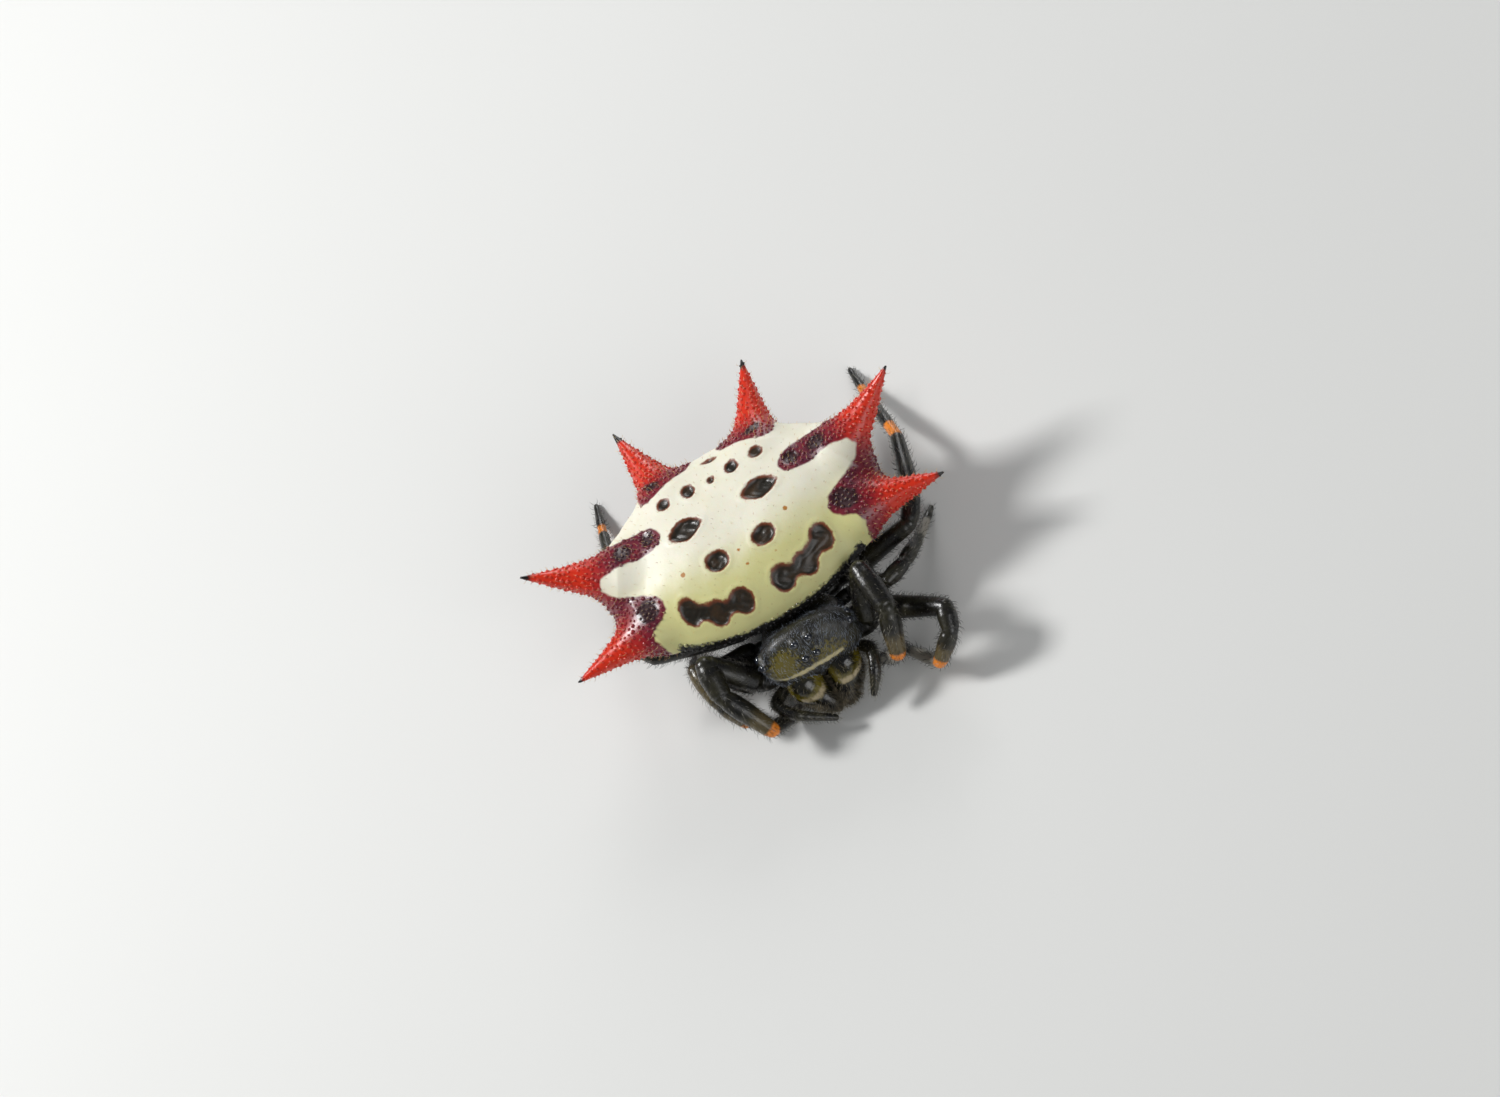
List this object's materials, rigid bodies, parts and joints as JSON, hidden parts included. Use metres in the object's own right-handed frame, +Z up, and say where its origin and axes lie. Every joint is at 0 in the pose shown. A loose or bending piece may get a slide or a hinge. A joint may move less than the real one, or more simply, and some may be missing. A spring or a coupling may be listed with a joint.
{
  "type": "spiny orb weaver spider",
  "caption": "Still, life-size spiny orb weaver with a wide domed shield edged with long spines, crouched on bent legs.",
  "frame": {"origin": "the middle of the standing animal's bounding box, on the floor under its feet", "axes": "+X towards the animal's left, -Y forwards past the head, +Z up out of the back"},
  "size_m": [0.0126, 0.0116, 0.0046],
  "materials": {
    "shield_shell": "glossy ivory shell, yellower at the front edge, with dark brown pits and red granular spines tipped black",
    "black_cuticle": "glossy black cuticle with fine pale hairs and a dark olive sheen",
    "brown_cuticle": "dark brown, slightly hairy cuticle",
    "leg_cuticle": "glossy black with orange rings near the joints, fine bristles and a dark olive sheen",
    "eye_lens": "polished black lens"
  },
  "bodies": {
    "root": {"abdomen_shield": "shield_shell", "abdomen_venter": "black_cuticle", "spinnerets": "brown_cuticle", "pedicel": "brown_cuticle", "carapace": "black_cuticle", "sternum": "black_cuticle", "chelicera_left": "black_cuticle", "chelicera_right": "black_cuticle", "fang_left": "brown_cuticle", "fang_right": "brown_cuticle", "maxilla_left": "brown_cuticle", "maxilla_right": "brown_cuticle", "palp_left": "leg_cuticle", "palp_right": "leg_cuticle", "eye_front_side_left": "eye_lens", "eye_front_side_right": "eye_lens", "eye_rear_side_left": "eye_lens", "eye_rear_side_right": "eye_lens", "eye_front_middle_left": "eye_lens", "eye_front_middle_right": "eye_lens", "eye_rear_middle_left": "eye_lens", "eye_rear_middle_right": "eye_lens", "leg_1_left": "leg_cuticle", "leg_2_left": "leg_cuticle", "leg_3_left": "leg_cuticle", "leg_4_left": "leg_cuticle", "leg_1_right": "leg_cuticle", "leg_2_right": "leg_cuticle", "leg_3_right": "leg_cuticle", "leg_4_right": "leg_cuticle"}
  },
  "joints": []
}
